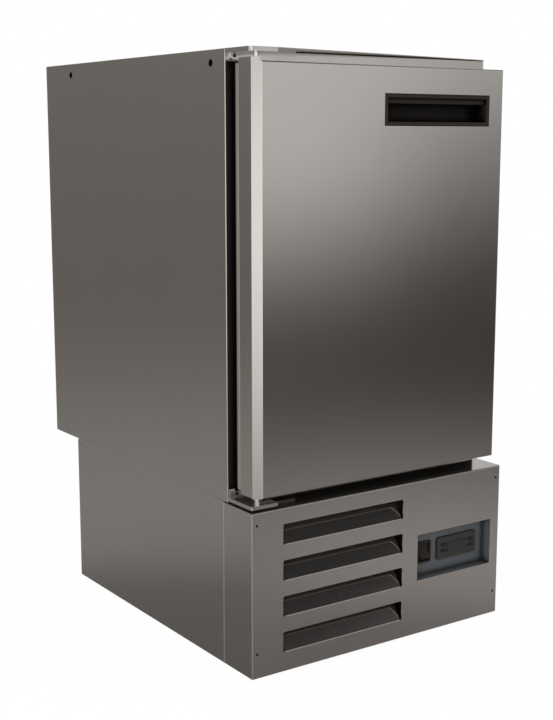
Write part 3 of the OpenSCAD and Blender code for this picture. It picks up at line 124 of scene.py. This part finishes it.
# Brushed steel. Noise has a scale for each axis, shades multiply a colour and spreads add to a roughness.
# The marks' noise counts only between the two values of its contrast.
STEEL_METALLIC = 0.96
STEEL_COLOR = (0.62, 0.583, 0.553)
STEEL_PLAIN_COLOR = (0.61, 0.575, 0.545)
STEEL_CLOUDS = (3.0, 3.0, 2.0)
STEEL_CLOUD_SHADE = 0.965
# The steel edges' lighter colour is polish wear and a painted highlight
STEEL_EDGE_RADIUS = 0.0006
STEEL_EDGE_POLISH_AND_HIGHLIGHT = 1.12
UPRIGHT_GRAIN = (2200.0, 2200.0, 25.0)
ACROSS_GRAIN = (25.0, 2200.0, 2200.0)
GRAIN_SPREAD = 0.03
GRAIN_RELIEF = 0.02
WIPING_MARKS = (11.0, 11.0, 5.0)
WIPING_CONTRAST = (0.4, 0.7)
WIPING_SPREAD = (-0.005, 0.009)

# Mouldings and paint
MOULDED_CLOUDS = (9.0, 9.0, 9.0)
MOULDED_CLOUD_SHADE = 1.12
MOULDED_EDGE_RADIUS = 0.0005
MOULDED_EDGE_SHADE = 1.35
MOULDED_EDGE_LIFT = 0.01
SKIN_SPREAD = 0.05
SKIN_DEPTH = 0.0001
# Roughness in hollows, whose colour gets painted shade
HOLLOW_ROUGHNESS = 0.95

# Other metals, and the depth of every metal's relief
METAL_SPOTS = (180.0, 180.0, 180.0)
METAL_SPOT_SPREAD = 0.04
METAL_CLOUDS = (20.0, 20.0, 20.0)
METAL_CLOUD_SHADE = 0.9
METAL_RELIEF = 0.04
METAL_DEPTH = 0.0002

# Sheet, brackets, mouldings and keys have a small round on their edges
ROUND_SEGMENTS = 2
ROUND_FROM_ANGLE = math.radians(40.0)
EDGE_ROUNDS = {
    "door_skin": 0.0003,
    "front_cover": 0.0003,
    "side_panel_left": 0.0008,
    "side_panel_right": 0.0008,
    "top_panel": 0.0003,
    "base_side_left": 0.0003,
    "base_side_right": 0.0003,
    "upper_hinge_bracket": 0.0006,
    "lower_hinge_bracket": 0.0006,
    "handle_cup": 0.0005,
    "control_tray": 0.0005,
    "controller_front": 0.0005,
    "switch_frame": 0.0005,
    "rocker": 0.0004,
    "key_set": 0.0004,
    "key_up": 0.0004,
    "key_power": 0.0004,
    "key_down": 0.0004,
}


def feed(tree, socket, value):
    """Links a socket to another one, or sets it to a number or a colour of three numbers."""
    if isinstance(value, bpy.types.NodeSocket):
        tree.links.new(value, socket)
    elif isinstance(value, tuple):
        socket.default_value = (*value, 1.0)
    else:
        socket.default_value = value


def calculate(tree, operation, *values):
    """One step of arithmetic with sockets and numbers."""
    node = tree.nodes.new("ShaderNodeMath")
    node.operation = operation
    for socket, value in zip(node.inputs, values):
        feed(tree, socket, value)
    return node.outputs["Value"]


def map_range(tree, source, to_range, from_range=(0.0, 1.0)):
    """Maps a value from one range to another and holds it at the ends."""
    node = tree.nodes.new("ShaderNodeMapRange")
    node.inputs["From Min"].default_value = from_range[0]
    node.inputs["From Max"].default_value = from_range[1]
    node.inputs["To Min"].default_value = to_range[0]
    node.inputs["To Max"].default_value = to_range[1]
    tree.links.new(source, node.inputs["Value"])
    return node.outputs["Result"]


def mix(tree, kind, factor, first, second):
    """Mixes two colours (kind RGBA) or two numbers (kind FLOAT) by a factor."""
    node = tree.nodes.new("ShaderNodeMix")
    node.data_type = kind
    tree.links.new(factor, node.inputs["Factor"])
    feed(tree, node.inputs["A"], first)
    feed(tree, node.inputs["B"], second)
    return node.outputs["Result"]


def mix_shaders(tree, factor, first, second):
    """The first shader where the factor is 0, the second where it is 1."""
    node = tree.nodes.new("ShaderNodeMixShader")
    tree.links.new(factor, node.inputs["Fac"])
    tree.links.new(first, node.inputs[1])
    tree.links.new(second, node.inputs[2])
    return node.outputs["Shader"]


def place_texture(tree, kind, scale, **sockets):
    """A texture in the object's own metres, with a scale for each axis."""
    coordinates = tree.nodes.new("ShaderNodeTexCoord")
    mapping = tree.nodes.new("ShaderNodeMapping")
    mapping.inputs["Scale"].default_value = scale
    texture = tree.nodes.new(kind)
    for socket, value in sockets.items():
        texture.inputs[socket].default_value = value
    tree.links.new(coordinates.outputs["Object"], mapping.inputs["Vector"])
    tree.links.new(mapping.outputs["Vector"], texture.inputs["Vector"])
    return texture


def noise(tree, scale, **sockets):
    """Noise between 0 and 1."""
    return place_texture(tree, "ShaderNodeTexNoise", scale, **sockets).outputs["Fac"]


def add_bump(tree, shader, height, strength, distance):
    """Adds a small relief to the shader."""
    bump = tree.nodes.new("ShaderNodeBump")
    bump.inputs["Strength"].default_value = strength
    bump.inputs["Distance"].default_value = distance
    tree.links.new(height, bump.inputs["Height"])
    tree.links.new(bump.outputs["Normal"], shader.inputs["Normal"])


def edge_share(tree, radius):
    """1 on an edge, 0 away from it."""
    rounded = tree.nodes.new("ShaderNodeBevel")
    rounded.samples = EDGE_SAMPLES
    rounded.inputs["Radius"].default_value = radius
    geometry = tree.nodes.new("ShaderNodeNewGeometry")
    product = tree.nodes.new("ShaderNodeVectorMath")
    product.operation = "DOT_PRODUCT"
    tree.links.new(rounded.outputs["Normal"], product.inputs[0])
    tree.links.new(geometry.outputs["Normal"], product.inputs[1])
    return map_range(tree, product.outputs["Value"], (1.0, 0.0), EDGE_TURN)


def openness(tree, distance):
    """0 in a corner or groove, 1 where nothing is nearer than the distance. It masks the painted shade in
    hollows.
    """
    occlusion = tree.nodes.new("ShaderNodeAmbientOcclusion")
    occlusion.samples = HOLLOW_SAMPLES
    occlusion.inputs["Distance"].default_value = distance
    return map_range(tree, occlusion.outputs["AO"], (0.0, 1.0), HOLLOW_OPENING)


def shade(color, share, lift=0.0):
    """A colour made darker or lighter, no lighter than white."""
    return tuple(min(1.0, share * channel + lift) for channel in color)


def about(value, spread):
    """A range with a value at its middle."""
    return value - spread, value + spread


def new_material():
    """A material, its node tree and its shader."""
    material = bpy.data.materials.new("finish")
    material.use_nodes = True
    tree = material.node_tree
    return material, tree, tree.nodes["Principled BSDF"]


def brushed_steel(color, roughness, grain):
    """Stainless steel with a fine grain, faint wiping marks, and edges made lighter for polish wear and a
    painted highlight.
    """
    material, tree, shader = new_material()
    shader.inputs["Metallic"].default_value = STEEL_METALLIC
    streaks = noise(tree, grain, Detail=4.0, Roughness=0.6)
    clouds = noise(tree, STEEL_CLOUDS, Detail=2.0)
    wiping = noise(tree, WIPING_MARKS, Detail=5.0, Roughness=0.65)
    even = mix(tree, "RGBA", clouds, shade(color, STEEL_CLOUD_SHADE), color)
    # Lighter edges: polish wear and a painted highlight
    edge_lightened = mix(tree, "RGBA", edge_share(tree, STEEL_EDGE_RADIUS), even, shade(color, STEEL_EDGE_POLISH_AND_HIGHLIGHT))
    tree.links.new(edge_lightened, shader.inputs["Base Color"])
    brushed = map_range(tree, streaks, about(roughness, GRAIN_SPREAD))
    wiped = map_range(tree, wiping, WIPING_SPREAD, WIPING_CONTRAST)
    tree.links.new(calculate(tree, "ADD", brushed, wiped), shader.inputs["Roughness"])
    add_bump(tree, shader, streaks, GRAIN_RELIEF, METAL_DEPTH)
    return material


def moulded(
    color, roughness, texture_scale=900.0, relief=0.12, specular=0.5, coat=0.0, hollow=0.0025, painted_hollow_shade=0.25,
):
    """Plastic, rubber or paint with a fine skin and worn edges.

    Corners within the distance called hollow get painted shade: their colour keeps only the share given by
    the last argument, and their roughness goes up.
    """
    material, tree, shader = new_material()
    shader.inputs["Specular IOR Level"].default_value = specular
    shader.inputs["Coat Weight"].default_value = coat
    skin = noise(tree, (texture_scale, texture_scale, texture_scale), Detail=3.0)
    clouds = noise(tree, MOULDED_CLOUDS, Detail=2.0)
    unshaded = openness(tree, hollow)
    even = mix(tree, "RGBA", clouds, color, shade(color, MOULDED_CLOUD_SHADE))
    rubbed = shade(color, MOULDED_EDGE_SHADE, MOULDED_EDGE_LIFT)
    edge_lightened = mix(tree, "RGBA", edge_share(tree, MOULDED_EDGE_RADIUS), even, rubbed)
    # Painted shade: hollows darkened to the share of colour given by the last argument
    tree.links.new(mix(tree, "RGBA", unshaded, shade(color, painted_hollow_shade), edge_lightened), shader.inputs["Base Color"])
    finish = map_range(tree, skin, about(roughness, SKIN_SPREAD))
    tree.links.new(mix(tree, "FLOAT", unshaded, HOLLOW_ROUGHNESS, finish), shader.inputs["Roughness"])
    add_bump(tree, shader, skin, relief, SKIN_DEPTH)
    return material


def plain_metal(color, roughness):
    """Zinc coated, drawn or polished metal."""
    material, tree, shader = new_material()
    shader.inputs["Metallic"].default_value = 1.0
    spots = place_texture(tree, "ShaderNodeTexVoronoi", METAL_SPOTS).outputs["Color"]
    clouds = noise(tree, METAL_CLOUDS, Detail=3.0)
    uneven = mix(tree, "RGBA", clouds, shade(color, METAL_CLOUD_SHADE), color)
    tree.links.new(uneven, shader.inputs["Base Color"])
    finish = map_range(tree, spots, about(roughness, METAL_SPOT_SPREAD))
    tree.links.new(finish, shader.inputs["Roughness"])
    add_bump(tree, shader, clouds, METAL_RELIEF, METAL_DEPTH)
    return material


def dress_nodes():
    """Gives every node its material, and some nodes rounded edges."""
    materials = {
        "steel_brushed": brushed_steel(STEEL_COLOR, 0.12, UPRIGHT_GRAIN),
        "steel_plain": brushed_steel(STEEL_PLAIN_COLOR, 0.15, ACROSS_GRAIN),
        "steel_zinc": plain_metal((0.60, 0.61, 0.62), 0.42),
        "steel_bright": plain_metal((0.80, 0.79, 0.78), 0.18),
        "screw_black": plain_metal((0.045, 0.043, 0.042), 0.45),
        "fin_aluminium": plain_metal((0.76, 0.77, 0.78), 0.36),
        "copper": plain_metal((0.86, 0.47, 0.30), 0.28),
        # The hollow distances paint shade into corners, darkest on black plastic such as the handle's
        # recess, and round the controller
        "plastic_black": moulded((0.028, 0.0245, 0.0215), 0.55, specular=0.08, hollow=0.025, painted_hollow_shade=0.02),
        "plastic_controller": moulded((0.04, 0.039, 0.037), 0.5, specular=0.3, hollow=0.004, painted_hollow_shade=0.05),
        "display_window": moulded((0.030, 0.028, 0.028), 0.22, relief=0.0),
        "control_plate": moulded((0.1, 0.11, 0.12), 0.40, relief=0.05, hollow=0.012, painted_hollow_shade=0.2),
        "gasket_grey": moulded((0.3, 0.26, 0.222), 0.7, texture_scale=400.0, specular=0.3, hollow=0.004),
        "magnet_strip": moulded((0.05, 0.045, 0.04), 0.8),
        "rubber_black": moulded((0.02, 0.02, 0.02), 0.75, texture_scale=500.0),
        "liner_white": moulded((0.74, 0.75, 0.76), 0.38, relief=0.03, painted_hollow_shade=0.7),
        "tray_white": moulded((0.72, 0.72, 0.69), 0.45, relief=0.03, painted_hollow_shade=0.7),
        "wire_coated": moulded((0.76, 0.77, 0.78), 0.30, relief=0.02, coat=0.3, painted_hollow_shade=0.7),
        "foam": moulded((0.72, 0.58, 0.34), 0.9, texture_scale=300.0, relief=0.5),
        "condenser_black": moulded((0.125, 0.11, 0.095), 0.6, specular=0.3),
        "compressor_black": moulded((0.018, 0.018, 0.019), 0.30, relief=0.25, coat=0.4),
    }
    for name, material in materials.items():
        material.name = name
    for part in frame["record"]["subparts"]:
        slots = nodes[part["node"]].data.materials
        slots.clear()
        slots.append(materials[part["material_slot"]])
    for name, width in EDGE_ROUNDS.items():
        bevel = nodes[name].modifiers.new("edge_round", "BEVEL")
        bevel.width = width
        bevel.segments = ROUND_SEGMENTS
        bevel.limit_method = "ANGLE"
        bevel.angle_limit = ROUND_FROM_ANGLE
        bevel.harden_normals = True


def grey(level):
    """A plain grey, for a layer's share."""
    return level, level, level, 1.0


def warm(level):
    """A light level of the room, a little warm where it is dark."""
    share = min(1.0, level / WHITE_FROM)
    green = DARK_GREEN + (1.0 - DARK_GREEN) * share
    blue = DARK_BLUE + (1.0 - DARK_BLUE) * share
    return level, level * green, level * blue, 1.0


def grade(tree, source, limits, stops, tone):
    """Levels that pass softly from stop to stop. The source is in radians, the rest in degrees."""
    low, high = limits
    ramp = tree.nodes.new("ShaderNodeValToRGB")
    ramp.color_ramp.interpolation = "EASE"
    elements = ramp.color_ramp.elements
    while len(elements) < len(stops):
        elements.new(0.5)
    for element, (angle, level) in zip(elements, stops):
        element.position = (angle - low) / (high - low)
        element.color = tone(level)
    position = map_range(tree, source, (0.0, 1.0), (math.radians(low), math.radians(high)))
    tree.links.new(position, ramp.inputs["Fac"])
    return ramp.outputs["Color"]


def mirrored_room(tree):
    """The colour of the mirrored room in each direction."""
    split = tree.nodes.new("ShaderNodeSeparateXYZ")
    tree.links.new(tree.nodes.new("ShaderNodeTexCoord").outputs["Generated"], split.inputs["Vector"])
    forwards = calculate(tree, "MULTIPLY", split.outputs["Y"], -1.0)
    height = calculate(tree, "ARCSINE", split.outputs["Z"])
    turn = calculate(tree, "ARCTAN2", split.outputs["X"], forwards)
    slanted = calculate(tree, "MULTIPLY_ADD", height, SIDE_SLANT, turn)
    color = grade(tree, height, HEIGHTS, FRONT_LEFT, warm)
    for profile, sides in LAYERS:
        share = grade(tree, slanted, TURNS, sides, grey)
        color = mix(tree, "RGBA", share, color, grade(tree, height, HEIGHTS, profile, warm))
    return color


def background(tree, color):
    """Light of one colour from the world."""
    node = tree.nodes.new("ShaderNodeBackground")
    feed(tree, node.inputs["Color"], color)
    return node.outputs["Background"]


def build_world():
    """White for the camera, the mirrored room for glossy rays and one soft colour for the rest."""
    world = bpy.data.worlds.new("studio")
    bpy.context.scene.world = world
    world.use_nodes = True
    tree = world.node_tree
    tree.nodes.clear()
    rays = tree.nodes.new("ShaderNodeLightPath").outputs
    soft = background(tree, SOFT_COLOR)
    lit = mix_shaders(tree, rays["Is Glossy Ray"], soft, background(tree, mirrored_room(tree)))
    seen = mix_shaders(tree, rays["Is Camera Ray"], lit, background(tree, WHITE))
    output = tree.nodes.new("ShaderNodeOutputWorld")
    tree.links.new(seen, output.inputs["Surface"])


def build_floor():
    """A round pale floor that looks white to the camera but keeps a soft shadow."""
    bpy.ops.mesh.primitive_circle_add(vertices=FLOOR_SIDES, radius=FLOOR_RADIUS, fill_type="NGON")
    floor = bpy.context.object
    floor.name = "floor"
    material, tree, shader = new_material()
    material.name = "floor_pale"
    shader.inputs["Base Color"].default_value = (*FLOOR_COLOR, 1.0)
    shader.inputs["Roughness"].default_value = FLOOR_ROUGHNESS
    glow = tree.nodes.new("ShaderNodeEmission")
    glow.inputs["Strength"].default_value = FLOOR_GLOW
    rays = tree.nodes.new("ShaderNodeLightPath").outputs
    share = map_range(tree, rays["Is Camera Ray"], (0.0, FLOOR_GLOW_SHARE))
    lifted = mix_shaders(tree, share, shader.outputs["BSDF"], glow.outputs["Emission"])
    tree.links.new(lifted, tree.nodes["Material Output"].inputs["Surface"])
    floor.data.materials.append(material)
    floor.visible_glossy = False


def build_camera():
    """The photograph's own view: centred, level, looking slightly down."""
    data = bpy.data.cameras.new("camera")
    data.lens = LENS_MM
    data.sensor_width = SENSOR_MM
    data.sensor_height = SENSOR_MM
    data.sensor_fit = "AUTO"
    holder = bpy.data.objects.new("camera", data)
    bpy.context.collection.objects.link(holder)
    holder.location = EYE
    forward = Vector((
        math.sin(YAW) * math.cos(PITCH),
        math.cos(YAW) * math.cos(PITCH),
        -math.sin(PITCH),
    ))
    holder.rotation_euler = forward.to_track_quat("-Z", "Y").to_euler()
    bpy.context.scene.camera = holder


def build_key():
    """The soft lamp to the left front."""
    lamp = bpy.data.lights.new("key", "AREA")
    lamp.shape = "SQUARE"
    lamp.size = KEY_SIZE
    lamp.energy = KEY_POWER
    holder = bpy.data.objects.new("key", lamp)
    bpy.context.collection.objects.link(holder)
    holder.location = KEY_PLACE
    holder.rotation_euler = (KEY_TARGET - KEY_PLACE).to_track_quat("-Z", "Y").to_euler()
    holder.visible_glossy = False


dress_nodes()
build_world()
build_floor()
build_camera()
build_key()

bpy.context.scene.view_settings.view_transform = "Standard"
